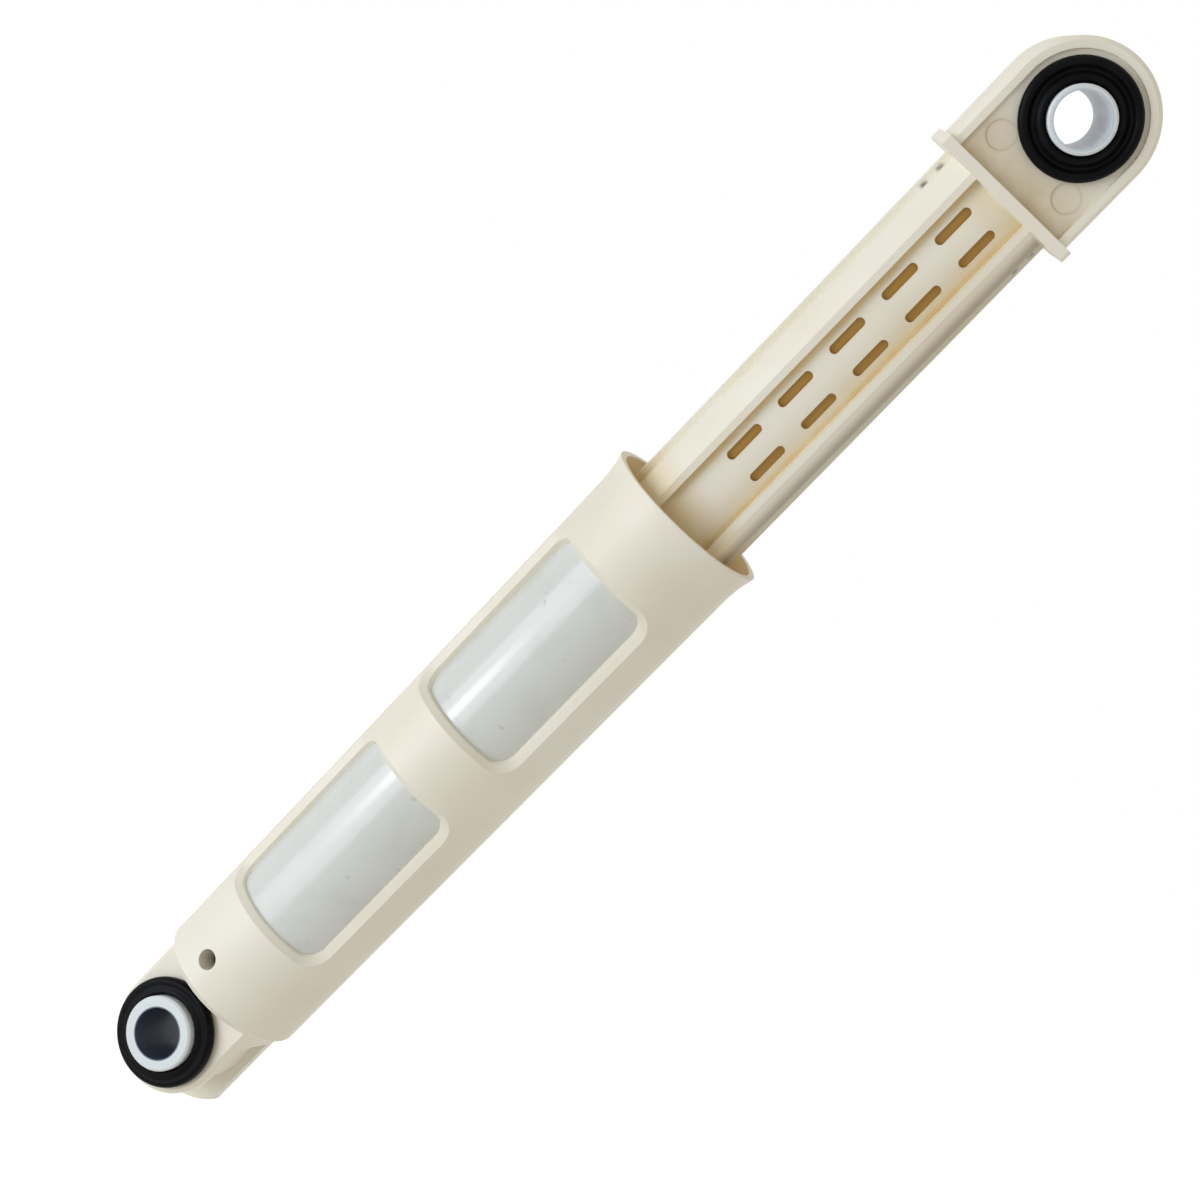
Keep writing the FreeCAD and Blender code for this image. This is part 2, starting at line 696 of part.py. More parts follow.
def make_all():
    """Make every sub-part in its place."""
    lower_half = "(lug_half_depth + bush_collar + lower_sleeve_proud)"
    upper_half = f"({EYE_WEB} + bush_collar + upper_sleeve_proud)"
    lower_bush = make_bush("lower_bush", LOWER_SLEEVE, "lug_half_depth")
    lower_sleeve = make_sleeve("lower_sleeve", LOWER_SLEEVE, lower_half)
    upper_bush = make_bush("upper_bush", UPPER_SLEEVE, EYE_WEB)
    upper_sleeve = make_sleeve("upper_sleeve", UPPER_SLEEVE, upper_half)
    for body in (upper_bush, upper_sleeve):
        raise_to_upper_eye(body, turned=True)
    return [
        make_barrel(), make_tube(), make_plunger(), make_lining(),
        lower_bush, lower_sleeve, upper_bush, upper_sleeve,
    ]


def check(bodies):
    """Stop unless every object and sub-part came out whole."""
    doc.recompute()
    for item in doc.Objects:
        if {"Invalid", "Error"} & set(item.State):
            raise RuntimeError(f"{item.Name} failed: {item.State}")
    for body in bodies:
        shape = body.Shape
        if shape.isNull() or not shape.isValid() or len(shape.Solids) != 1:
            raise RuntimeError(f"{body.Label} isn't one valid solid")


def write(bodies):
    """Write each sub-part to its own file."""
    os.makedirs("parts", exist_ok=True)
    for body in bodies:
        body.Shape.exportStep(f"parts/{body.Label}.step")
        print(f"{body.Label}: {body.Shape.Volume / 1000:.2f} cm3, z {body.Shape.BoundBox.ZMin:.1f} to "
              f"{body.Shape.BoundBox.ZMax:.1f}")


def main():
    """Build, check and write the damper."""
    bodies = make_all()
    check(bodies)
    write(bodies)


main()
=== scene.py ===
"""Dress a packed washing machine damper: moulded finishes, soft rubber bushes and a pale studio."""
import json
import math

import bpy
from bpy.props import FloatProperty, FloatVectorProperty, IntProperty, PointerProperty
from mathutils import Matrix, Vector


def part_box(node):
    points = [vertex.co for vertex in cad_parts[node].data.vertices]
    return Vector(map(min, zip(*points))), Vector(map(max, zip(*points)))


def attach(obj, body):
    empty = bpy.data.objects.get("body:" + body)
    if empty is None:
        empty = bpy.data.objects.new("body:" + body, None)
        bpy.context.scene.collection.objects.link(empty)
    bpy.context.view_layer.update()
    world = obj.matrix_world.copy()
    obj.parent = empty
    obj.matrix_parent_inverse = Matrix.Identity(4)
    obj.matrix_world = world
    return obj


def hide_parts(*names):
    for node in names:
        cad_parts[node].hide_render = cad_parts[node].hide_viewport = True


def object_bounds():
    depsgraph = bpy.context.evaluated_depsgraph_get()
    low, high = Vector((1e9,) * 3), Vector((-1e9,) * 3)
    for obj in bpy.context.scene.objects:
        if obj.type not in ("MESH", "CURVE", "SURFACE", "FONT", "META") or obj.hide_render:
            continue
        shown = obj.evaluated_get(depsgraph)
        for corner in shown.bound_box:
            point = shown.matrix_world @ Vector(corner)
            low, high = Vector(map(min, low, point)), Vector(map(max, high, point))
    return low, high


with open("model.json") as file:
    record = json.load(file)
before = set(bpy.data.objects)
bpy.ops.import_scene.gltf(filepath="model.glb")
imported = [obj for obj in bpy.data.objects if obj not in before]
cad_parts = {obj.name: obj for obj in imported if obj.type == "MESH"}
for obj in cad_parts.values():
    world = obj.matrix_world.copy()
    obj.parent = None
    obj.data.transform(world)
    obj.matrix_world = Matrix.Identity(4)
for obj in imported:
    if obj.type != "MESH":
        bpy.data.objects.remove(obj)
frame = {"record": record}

bl_info = {
    "name": "Washing Machine Damper",
    "version": (1, 0, 0),
    "blender": (4, 5, 0),
    "location": "3D View > Sidebar > Damper",
    "description": "Finishes a friction damper's mouldings, models its rubber bushes and lights it",
    "category": "Object",
}

MM = 0.001
CAD_BOX = [list(corner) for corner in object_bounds()]
MOUNTS = {mount["name"]: mount for mount in frame["record"]["mounts"]}
UPPER_AXIS = Vector(MOUNTS["upper_eye"]["axis"])
UPPER_CENTRE = Vector(MOUNTS["upper_eye"]["pos_m"])
UPPER_TURN = math.atan2(-UPPER_AXIS.x, UPPER_AXIS.y)
LOWER_AXIS = Vector(MOUNTS["lower_eye"]["axis"])
LOWER_CENTRE = Vector(MOUNTS["lower_eye"]["pos_m"])
LOWER_TURN = math.atan2(-LOWER_AXIS.x, LOWER_AXIS.y)

# Sizes in millimetres that the frame gives.
BORE_RADIUS = MOUNTS["lower_eye"]["dims"]["r_mm"]
COLLAR_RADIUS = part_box("lower_bush")[1][0] / MM
BARREL_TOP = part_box("barrel")[1][2] / MM

# Widths over which a mark fades at its edge, from nearly sharp to soft.
HAIR = 0.1 * MM
THIN = 0.2 * MM
SOFT = 0.3 * MM
WIDE = 0.5 * MM

# A bush's outline starts as a small plane merged to one point, and points this near are merged too.
SEED_SIDE = 1 * MM
MERGE_GAP = 0.01 * MM
SUBDIVISIONS = 2


def linear(code):
    """Turn an sRGB hex code into Blender's linear red, green, blue and alpha."""
    channels = [int(code[start:start + 2], 16) / 255 for start in (1, 3, 5)]
    curved = [c / 12.92 if c <= 0.04045 else ((c + 0.055) / 1.055) ** 2.4 for c in channels]
    return (*curved, 1.0)


WHITE = linear("#FFFFFF")


def colour(name, description, code):
    """Declare a colour that a user may change, with its default as a hex code."""
    return FloatVectorProperty(name=name, description=description, default=linear(code), size=4,
                               min=0, max=1, subtype="COLOR")


def size(name, description, millimetres):
    """Declare a size that a user may change, with its default in millimetres."""
    return FloatProperty(name=name, description=description, default=millimetres * MM, unit="LENGTH",
                         precision=5)


def share(name, description, amount):
    """Declare how strongly something shows, from 0 for not at all to 1 for fully."""
    return FloatProperty(name=name, description=description, default=amount, min=0, max=1,
                         subtype="FACTOR")


def angle(name, description, degrees):
    """Declare an angle that a user may change, with its default in degrees."""
    return FloatProperty(name=name, description=description, default=math.radians(degrees),
                         subtype="ANGLE")


def lamp_place(name, description, millimetres):
    return FloatVectorProperty(name=name, description=description, default=Vector(millimetres) * MM,
                               size=3, subtype="TRANSLATION", unit="LENGTH")


def lamp_size(name, description, millimetres):
    return FloatVectorProperty(name=name, description=description, default=Vector(millimetres) * MM,
                               size=2, subtype="TRANSLATION", unit="LENGTH")


def lamp_power(name, description, watts):
    return FloatProperty(name=name, description=description, default=watts, unit="POWER")


class DamperColours(bpy.types.PropertyGroup):
    """Colours of the damper's finishes, with its painted shade and glow among them."""

    ivory: colour("Ivory", "Barrel's moulded plastic", "#EEE9DB")
    ivory_cloud: colour("Ivory cloud", "Slightly yellower clouds in the barrel", "#EAE2CF")
    pale_ivory: colour("Pale ivory", "Plunger's moulded plastic", "#F4EFE1")
    pale_cloud: colour("Pale cloud", "Slightly yellower clouds in the plunger", "#F0E8D5")
    # Partly painted glow: the grease's amber is bright enough to stand in for light glowing inside the
    # translucent plastic.
    grease: colour("Grease", "Amber grease in the plunger's slots", "#BA903F")
    # Used for real grease in the mouth, and also as painted shade in the panels' corners, on their shaded
    # side and under the flange.
    grease_film_and_shade: colour("Grease film", "Thin smear of the grease in corners and the mouth", "#E4C988")
    # Painted shade: the flange's shadow on the foot of the upper eye's face.
    eye_foot_shade: colour("Eye film", "Dusty smear at the foot of the upper eye's face", "#C9B48A")
    # Painted shade along one ridge's outer side, and the dark ring round the ejector pins' marks.
    darkening: colour("Grime", "Old dark grease on one ridge and in the pin marks", "#8A7757")
    # Small dark spots on the plunger's sides under its flange.
    scuff: colour("Scuff", "Dark marks rubbed onto the plunger's sides under its flange", "#4A4A3E")
    steel: colour("Steel", "Zinc-plated tube", "#D9DBD7")
    steel_smudge: colour("Steel smudge", "Fingered and greasy patches on the tube", "#D4D6D1")
    steel_speck: colour("Steel speck", "Small dull marks rubbed into the plating", "#A4A7A1")
    rubber: colour("Rubber", "Bushes", "#08080A")
    rubber_bloom: colour("Rubber bloom", "Greyer dusting on the bushes", "#131315")
    sleeve: colour("Sleeve", "Bluish white sleeves", "#DCE2E5")
    # Painted shade: the bores' walls get darker, bluer copies of the sleeve's colour for the shade inside
    # them.
    upper_bore_shade: colour("Upper bore", "Wall of the upper sleeve's bore", "#C3CCD8")
    lower_bore_shade: colour("Lower bore", "Wall of the lower sleeve's bore", "#465168")
    lining: colour("Lining", "Greased felt of the friction lining", "#8B6A35")
    lining_fibre: colour("Lining fibre", "Drier fibres on the friction lining", "#B59457")


class DamperWearAndShade(bpy.types.PropertyGroup):
    """How strongly the grease, the painted shade and the marks show."""

    mouth_film: share("Mouth film", "Film inside the barrel's mouth and on the plunger by it", 0.8)
    # Partly grease film, partly painted shade in the panels' creases.
    corner_film_and_shade: share("Corner film", "Film along the corners of the plunger's panels", 0.75)
    # Painted shade: darkens the side of the panels that the key lamp leaves in shade.
    panel_painted_shade: share("Panel film", "Film on the side of the panels where the last wipe left it", 0.4)
    # Painted shade: darker on the panels right under the flange, where its shade falls.
    under_flange_shade: share("Flange film", "Film on the panels right under the flange", 0.6)
    # Painted shadow of the flange at the foot of the upper eye's face.
    foot_shade: share("Foot film", "Smear at the foot of the upper eye's face", 0.9)
    # Also thins the painted shade in patches.
    least_film_and_shade: share("Least film", "What is left of a film in its thinnest patches", 0.6)
    # Darkens a thin ring round each ejector pin's mark.
    pin_ring_dark: share("Pin dust", "Dust in the rings that the ejector pins left", 0.18)
    # Painted shade along the outer side of one front ridge, and what is left of it out on the fin.
    ridge_shade: share("Ridge grime", "Grime along the outer side of one front ridge", 0.75)
    fin_shade: share("Fin grime", "What is left of that grime out on the fin", 0.05)
    # How dark the spots under the flange are where they are broken and where they are whole.
    least_dot: share("Least scuff", "Scuffs where they are most broken", 0.3)
    most_dot: share("Most scuff", "Scuffs where they are whole", 0.85)
    tube_specks: share("Tube specks", "Dull marks on the tube", 0.5)


class DamperSizes(bpy.types.PropertyGroup):
    """Sizes of the soft bushes and of the marks and painted shade on the mouldings."""

    waist_radius: size("Waist radius", "Radius of a bush inside its eye", 9.4)
    collar_radius: size("Collar radius", "Largest radius of a bush's collars", COLLAR_RADIUS)
    collar_height: size("Collar height", "How far a collar stands off its eye", 2.8)
    lower_seat: size("Lower seat", "Half the depth of the lower lug between the collars", 8.7)
    upper_seat: size("Upper seat", "Half the depth of the upper eye between the collars", 7.9)
    lower_hole: size("Lower hole", "Outer radius of the lower sleeve", 7.6)
    upper_hole: size("Upper hole", "Outer radius of the upper sleeve", 6.3)
    lower_groove: size("Lower groove", "Depth of the ring groove in the lower bush's faces", 0.5)
    upper_groove: size("Upper groove", "Depth of the ring groove in the upper bush's faces", 1.8)
    bush_steps: IntProperty(name="Bush steps", description="Facets round a bush before it is subdivided",
                            default=48, min=12)
    bore_radius: size("Bore radius", "Just more than the radius of a sleeve's bore", BORE_RADIUS + 0.15)

    mouth_height: size("Mouth height", "Top of the barrel", BARREL_TOP)
    mouth_radius: size("Mouth radius", "Just more than the radius of the barrel's mouth inside", 16.45)
    film_depth: size("Film depth", "How far down inside the mouth its film ends", 9)
    film_fade: size("Film fade", "Length over which the film in the mouth fades out", 2)
    wipe_reach: size("Wipe reach", "How far the mouth's film reaches up the plunger", 8)

    flange_height: size("Flange height", "Underside of the plunger's flange", 232)
    flange_thick: size("Flange thickness", "Plunger's flange", 2.3)
    # How far the painted shade under the flange reaches down.
    flange_reach: size("Flange reach", "How far the film under the flange reaches down", 8)
    # How far the painted shadow over the flange reaches up the eye's face.
    foot_reach: size("Foot reach", "How far the smear over the flange reaches up the eye's face", 13)
    eye_half_width: size("Eye half width", "Half the width of the upper eye inside its rim", 12.4)
    pin_side: size("Pin side", "How far an ejector pin's mark lies from the upper eye's middle", 8.3)
    pin_drop: size("Pin drop", "How far the ejector pins' marks lie under the upper bore", 11.5)
    pin_radius: size("Pin radius", "Ring that an ejector pin left", 2.75)
    pin_line: size("Pin line", "Half the width of that ring", 0.4)

    panel_edge: size("Panel edge", "Half the width of the plunger's sunk panels", 6.1)
    # These place the corners' film and painted shade.
    corner_inset: size("Corner inset", "How far inside a panel's edge its corner film is thickest", 0.5)
    corner_spread: size("Corner spread", "How far the corner film spreads from there", 1.4)
    corner_low: size("Corner low", "Distance from the middle plane at which the corner film is full", 7.4)
    corner_high: size("Corner high", "Distance from the middle plane at which the corner film ends", 8.6)
    # The core's amber is partly grease and partly painted glow.
    core_radius: size("Core radius", "Curve just under the plunger's panels, where the grease starts", 12.75)
    core_offset: size("Core offset", "How far that curve's centre lies behind the plunger's axis", 4.5)
    core_half_width: size("Core half width", "Half the width of the greased core", 9.3)
    front_start: size("Front start", "Distance from the middle plane at which front marks start", 0.8)
    front_full: size("Front full", "Distance from the middle plane at which front marks are full", 1.8)
    # Where the painted shade on the ridge lies.
    ridge_shade_side: size("Grime side", "How far out from the plunger's middle the grime is thickest", 10.4)
    ridge_shade_fade: size("Grime fade", "Width over which the grime thins out towards the middle", 2)
    fin_root: size("Fin root", "How far out from the plunger's middle its side fins start", 11.3)
    fin_half_thick: size("Fin half thickness", "Half the thickness of the plunger's side fins", 1.3)
    dot_drop: size("Scuff drop", "How far under the flange the scuffs' middle lies", 4.9)
    dot_half_gap: size("Scuff half gap", "Half the distance between the two scuffs of a pair", 2.1)
    dot_length: size("Scuff length", "How far a scuff reaches along the plunger from its centre", 1.1)
    dot_width: size("Scuff width", "How far a scuff reaches across from the fin's root", 1.0)
    dot_core: size("Scuff core", "How far from its centre a scuff is at its darkest", 0.4)


class DamperStage(bpy.types.PropertyGroup):
    """Camera, floor and lamps."""

    azimuth: angle("Azimuth", "Camera's turn about the damper from straight in front", 18.1)
    elevation: angle("Elevation", "Camera's height above the level of what it looks at", 13.03)
    roll: angle("Roll", "Camera's tilt, which lays the damper across the picture", 44.15)
    distance: size("Distance", "From the camera to the point that it looks at", 438.1)
    aim_height: size("Aim height", "Height on the damper's axis that the camera looks at", 122)
    near_clip: size("Near clip", "Nearest distance that the camera shows", 10)
    lens: FloatProperty(name="Lens", description="Focal length in millimetres", default=67.26)
    shift: FloatVectorProperty(name="Shift", description="Camera's shift across and up", size=2,
                               default=(0.00825, 0.0135))
    floor_gap: size("Floor gap", "How far the floor lies under the damper", 380)
    floor_side: size("Floor side", "Side of the square floor", 6000)
    floor_tint: colour("Floor tint", "Pale matt board", "#E8E8E8")
    floor_glow: share("Floor glow", "What is added to the floor where it is seen, to show it as white", 0.64)
    key_place: lamp_place("Key place", "Where the main lamp stands", (-461, -737, -111))
    key_size: lamp_size("Key size", "Width and height of the main lamp", (800, 500))
    key_tint: colour("Key tint", "Colour of the main lamp", "#EAF4FF")
    key_power: lamp_power("Key power", "Main lamp", 4.3)
    streak_place: lamp_place("Streak place", "Where the small lamp that the tube mirrors stands",
                             (-185, -297, -21))
    streak_size: lamp_size("Streak size", "Width and height of the small lamp", (80, 60))
    streak_tint: colour("Streak tint", "Colour of the small lamp", "#FFFFFF")
    streak_power: lamp_power("Streak power", "Small lamp", 0.15)
    edge_place: lamp_place("Edge place", "Where the lamp that draws the far edge stands", (640, 170, 20))
    edge_size: lamp_size("Edge size", "Width and height of that lamp", (300, 500))
    edge_tint: colour("Edge tint", "Colour of that lamp", "#FFFBF4")
    edge_power: lamp_power("Edge power", "Lamp for the far edge", 0.4)
    room_tint: colour("Room tint", "Colour of the light that the room gives back", "#FFFBF2")
    ambient: FloatProperty(name="Ambient", description="Light that the white room gives back", default=0.56)


def link(tree, given, target):
    """Feed an input with a constant, an output, or a node's first live output."""
    if isinstance(given, bpy.types.Node):
        given = next(output for output in given.outputs if output.enabled)
    if isinstance(given, bpy.types.NodeSocket):
        tree.links.new(given, target)
    else:
        target.default_value = given


def add_node(tree, kind, inputs=None, **settings):
    """Add a node with its settings, and feed its inputs by name or by number."""
    node = tree.nodes.new(kind)
    for name, setting in settings.items():
        setattr(node, name, setting)
    for key, given in (inputs or {}).items():
        by_name = (socket for socket in node.inputs if socket.name == key and socket.enabled)
        link(tree, given, node.inputs[key] if isinstance(key, int) else next(by_name))
    return node


def per_mm(spacing):
    """Give the texture scale of a pattern whose features are this many millimetres apart."""
    return 1 / (spacing * MM)


def start_material(name, constants):
    """Start a material from its shader's constants; return it, its tree, shader and Object coordinates."""
    material = bpy.data.materials.new(name)
    material.use_nodes = True
    tree = material.node_tree
    shader = tree.nodes["Principled BSDF"]
    for socket, setting in constants.items():
        shader.inputs[socket].default_value = setting
    place = add_node(tree, "ShaderNodeTexCoord").outputs["Object"]
    return material, tree, shader, place


def moulded_polyamide(name, plain, clouded):
    """Ivory polyamide straight from the mould: an even satin skin with a fine grain, faintly clouded."""
    material, tree, shader, place = start_material(name, {"IOR": 1.53})
    clouds = add_node(tree, "ShaderNodeTexNoise", {"Vector": place, "Scale": per_mm(24), "Detail": 3.0})
    cloudy = add_node(tree, "ShaderNodeMapRange", {"Value": clouds, "From Min": 0.38, "From Max": 0.68})
    tone = add_node(tree, "ShaderNodeMix", {
        "Factor": cloudy, "A": plain, "B": clouded}, data_type="RGBA")
    link(tree, tone, shader.inputs["Base Color"])
    polish = add_node(tree, "ShaderNodeTexNoise", {"Vector": place, "Scale": per_mm(7), "Detail": 2.0})
    gloss = add_node(tree, "ShaderNodeMapRange", {"Value": polish, "To Min": 0.42, "To Max": 0.56})
    link(tree, gloss, shader.inputs["Roughness"])
    # The mould's spark-eroded grain is about 0.1 mm, and is drawn coarser here so that it shows.
    grain = add_node(tree, "ShaderNodeTexNoise", {"Vector": place, "Scale": per_mm(0.5), "Detail": 2.0})
    skin = add_node(tree, "ShaderNodeBump", {"Height": grain, "Distance": 0.02 * MM, "Strength": 0.2})
    link(tree, skin, shader.inputs["Normal"])
    return material, tree, shader, place, tone


def mouth_polyamide(colours, wear, sizes):
    """The barrel's polyamide: the same skin, with a film of old grease inside its mouth."""
    material, tree, shader, place, tone = moulded_polyamide(
        "mouth_polyamide", colours.ivory, colours.ivory_cloud)
    along = add_node(tree, "ShaderNodeSeparateXYZ", {"Vector": place}).outputs
    flat = add_node(tree, "ShaderNodeCombineXYZ", {"X": along["X"], "Y": along["Y"]})
    radius = add_node(tree, "ShaderNodeVectorMath", {0: flat}, operation="LENGTH").outputs["Value"]
    inside = add_node(tree, "ShaderNodeMapRange", {
        "Value": radius, "From Min": sizes.mouth_radius, "From Max": sizes.mouth_radius - SOFT})
    film_end = sizes.mouth_height - sizes.film_depth
    upper = add_node(tree, "ShaderNodeMapRange", {
        "Value": along["Z"], "From Min": film_end, "From Max": film_end + sizes.film_fade})
    film = add_node(tree, "ShaderNodeMath", {0: inside, 1: upper}, operation="MULTIPLY")
    thin = add_node(tree, "ShaderNodeMath", {0: film, 1: wear.mouth_film}, operation="MULTIPLY")
    filmed = add_node(tree, "ShaderNodeMix", {
        "Factor": thin, "A": tone, "B": colours.grease_film_and_shade}, data_type="RGBA")
    link(tree, filmed, shader.inputs["Base Color"])
    return material


def greased_polyamide(colours, wear, sizes):
    """The plunger's polyamide: the same skin, with grease and painted glow in its slots, films, painted
    shade and marks.
    """
    material, tree, shader, place, tone = moulded_polyamide(
        "greased_polyamide", colours.pale_ivory, colours.pale_cloud)
    turned = add_node(tree, "ShaderNodeMapping", {"Vector": place, "Rotation": (0, 0, -UPPER_TURN)})
    along = add_node(tree, "ShaderNodeSeparateXYZ", {"Vector": turned}).outputs
    across = add_node(tree, "ShaderNodeMath", {0: along["X"]}, operation="ABSOLUTE")
    inward = add_node(tree, "ShaderNodeMath", {0: along["Y"]}, operation="ABSOLUTE")
    height = along["Z"]
    stem = add_node(tree, "ShaderNodeMapRange", {
        "Value": height, "From Min": sizes.flange_height, "From Max": sizes.flange_height - WIDE})
    in_front = add_node(tree, "ShaderNodeMapRange", {
        "Value": along["Y"], "From Min": -sizes.front_start, "From Max": -sizes.front_full})

    # Film by the mouth: fades out a few millimetres above the barrel.
    wiped = add_node(tree, "ShaderNodeMapRange", {
        "Value": height, "From Min": sizes.mouth_height + sizes.wipe_reach,
        "From Max": sizes.mouth_height - sizes.film_fade, "To Max": wear.mouth_film})

    # Film and painted shade in the panels' corners: a narrow darker line just inside the ridge beside the
    # panel, where the crease lies in shade.
    from_edge = add_node(tree, "ShaderNodeMath", {
        0: across, 1: sizes.panel_edge - sizes.corner_inset}, operation="SUBTRACT")
    off_edge = add_node(tree, "ShaderNodeMath", {0: from_edge}, operation="ABSOLUTE")
    edge_line = add_node(tree, "ShaderNodeMapRange", {
        "Value": off_edge, "From Min": sizes.corner_spread, "From Max": SOFT, "To Max": wear.corner_film_and_shade})
    low = add_node(tree, "ShaderNodeMapRange", {
        "Value": inward, "From Min": sizes.corner_high, "From Max": sizes.corner_low})
    corner_line = add_node(tree, "ShaderNodeMath", {0: edge_line, 1: low}, operation="MULTIPLY")

    # Painted shade on the panels, in the grease film's colour: heavier towards the side that the key lamp
    # leaves in shade, and up under the flange where its shade falls.
    leaning = add_node(tree, "ShaderNodeMapRange", {
        "Value": along["X"], "From Min": 0.0, "From Max": sizes.panel_edge, "To Max": wear.panel_painted_shade})
    on_panel = add_node(tree, "ShaderNodeMapRange", {
        "Value": across, "From Min": sizes.panel_edge + THIN, "From Max": sizes.panel_edge})
    # Painted shade, darker up under the flange.
    gathered = add_node(tree, "ShaderNodeMapRange", {
        "Value": height, "From Min": sizes.flange_height - sizes.flange_reach,
        "From Max": sizes.flange_height, "To Max": wear.under_flange_shade})
    lean_and_flange_shade = add_node(tree, "ShaderNodeMath", {0: leaning, 1: gathered}, operation="MAXIMUM")
    lean_shade = add_node(tree, "ShaderNodeMath", {0: lean_and_flange_shade, 1: on_panel}, operation="MULTIPLY")
    panel_painted_shade = add_node(tree, "ShaderNodeMath", {0: corner_line, 1: lean_shade}, operation="MAXIMUM")
    stem_film_and_shade = add_node(tree, "ShaderNodeMath", {0: panel_painted_shade, 1: stem}, operation="MULTIPLY")
    film_and_shade = add_node(tree, "ShaderNodeMath", {0: wiped, 1: stem_film_and_shade}, operation="MAXIMUM")
    # The same patches thin the mouth's grease film and the painted shade.
    smears = add_node(tree, "ShaderNodeTexNoise", {"Vector": place, "Scale": per_mm(5), "Detail": 3.0})
    patchy = add_node(tree, "ShaderNodeMapRange", {
        "Value": smears, "From Min": 0.3, "From Max": 0.7, "To Min": wear.least_film_and_shade})
    film = add_node(tree, "ShaderNodeMath", {0: film_and_shade, 1: patchy}, operation="MULTIPLY")
    stem_tone = add_node(tree, "ShaderNodeMix", {
        "Factor": film, "A": tone, "B": colours.grease_film_and_shade}, data_type="RGBA")

    # Painted shade at the foot of the eye's sunk face, in the corner over the flange, where the flange's
    # shadow falls.
    flange_top = sizes.flange_height + sizes.flange_thick
    over = add_node(tree, "ShaderNodeMapRange", {
        "Value": height, "From Min": flange_top + sizes.foot_reach, "From Max": flange_top,
        "To Max": wear.foot_shade})
    above = add_node(tree, "ShaderNodeMapRange", {
        "Value": height, "From Min": flange_top - HAIR, "From Max": flange_top + HAIR})
    within = add_node(tree, "ShaderNodeMapRange", {
        "Value": across, "From Min": sizes.eye_half_width + HAIR, "From Max": sizes.eye_half_width})
    foot_side = add_node(tree, "ShaderNodeMath", {0: over, 1: within}, operation="MULTIPLY")
    foot = add_node(tree, "ShaderNodeMath", {0: foot_side, 1: above}, operation="MULTIPLY")
    foot_shade = add_node(tree, "ShaderNodeMath", {0: foot, 1: patchy}, operation="MULTIPLY")
    filmed = add_node(tree, "ShaderNodeMix", {
        "Factor": foot_shade, "A": stem_tone, "B": colours.eye_foot_shade}, data_type="RGBA")

    # A thin darker ring round each mark that the mould's ejector pins left on the eye's front face.
    from_pin = add_node(tree, "ShaderNodeMath", {0: across, 1: sizes.pin_side}, operation="SUBTRACT")
    over_pin = add_node(tree, "ShaderNodeMath", {
        0: height, 1: UPPER_CENTRE.z - sizes.pin_drop}, operation="SUBTRACT")
    round_pin = add_node(tree, "ShaderNodeCombineXYZ", {"X": from_pin, "Y": over_pin})
    pin_reach = add_node(tree, "ShaderNodeVectorMath", {0: round_pin}, operation="LENGTH").outputs["Value"]
    from_ring = add_node(tree, "ShaderNodeMath", {0: pin_reach, 1: sizes.pin_radius}, operation="SUBTRACT")
    off_ring = add_node(tree, "ShaderNodeMath", {0: from_ring}, operation="ABSOLUTE")
    ring = add_node(tree, "ShaderNodeMapRange", {
        "Value": off_ring, "From Min": sizes.pin_line, "From Max": HAIR, "To Max": wear.pin_ring_dark})
    on_eye = add_node(tree, "ShaderNodeMath", {0: above, 1: in_front}, operation="MULTIPLY")
    dusty = add_node(tree, "ShaderNodeMath", {0: ring, 1: on_eye}, operation="MULTIPLY")
    ringed = add_node(tree, "ShaderNodeMix", {
        "Factor": dusty, "A": filmed, "B": colours.darkening}, data_type="RGBA")

    # Slots and core: everything under the panels' skin, between the side walls and under the flange. Its
    # amber is partly grease and partly painted glow, standing in for light glowing inside the translucent
    # plastic.
    lowered = add_node(tree, "ShaderNodeMath", {0: inward, 1: sizes.core_offset}, operation="ADD")
    flat = add_node(tree, "ShaderNodeCombineXYZ", {"X": along["X"], "Y": lowered})
    reach = add_node(tree, "ShaderNodeVectorMath", {0: flat}, operation="LENGTH").outputs["Value"]
    deep = add_node(tree, "ShaderNodeMapRange", {
        "Value": reach, "From Min": sizes.core_radius + THIN, "From Max": sizes.core_radius - THIN})
    between = add_node(tree, "ShaderNodeMapRange", {
        "Value": across, "From Min": sizes.core_half_width + THIN, "From Max": sizes.core_half_width})
    sunk = add_node(tree, "ShaderNodeMath", {0: deep, 1: between}, operation="MULTIPLY")
    core = add_node(tree, "ShaderNodeMath", {0: sunk, 1: stem}, operation="MULTIPLY")
    greasy = add_node(tree, "ShaderNodeMix", {
        "Factor": core, "A": ringed, "B": colours.grease}, data_type="RGBA")

    # Painted shade: a soft dark band along the outer side of one front ridge, which the key lamp leaves in
    # shade, standing in for a deeper step there; thinner out on the fin.
    thicker = add_node(tree, "ShaderNodeMapRange", {
        "Value": along["X"], "From Min": sizes.ridge_shade_side - sizes.ridge_shade_fade, "From Max": sizes.ridge_shade_side,
        "To Max": wear.ridge_shade})
    thinner = add_node(tree, "ShaderNodeMapRange", {
        "Value": along["X"], "From Min": sizes.fin_root - SOFT, "From Max": sizes.fin_root + WIDE,
        "To Min": 1.0, "To Max": wear.fin_shade})
    band = add_node(tree, "ShaderNodeMath", {0: thicker, 1: thinner}, operation="MULTIPLY")
    front_band = add_node(tree, "ShaderNodeMath", {0: band, 1: in_front}, operation="MULTIPLY")
    ridge_shade_mask = add_node(tree, "ShaderNodeMath", {0: front_band, 1: stem}, operation="MULTIPLY")
    ridge_shaded = add_node(tree, "ShaderNodeMix", {
        "Factor": ridge_shade_mask, "A": greasy, "B": colours.darkening}, data_type="RGBA")

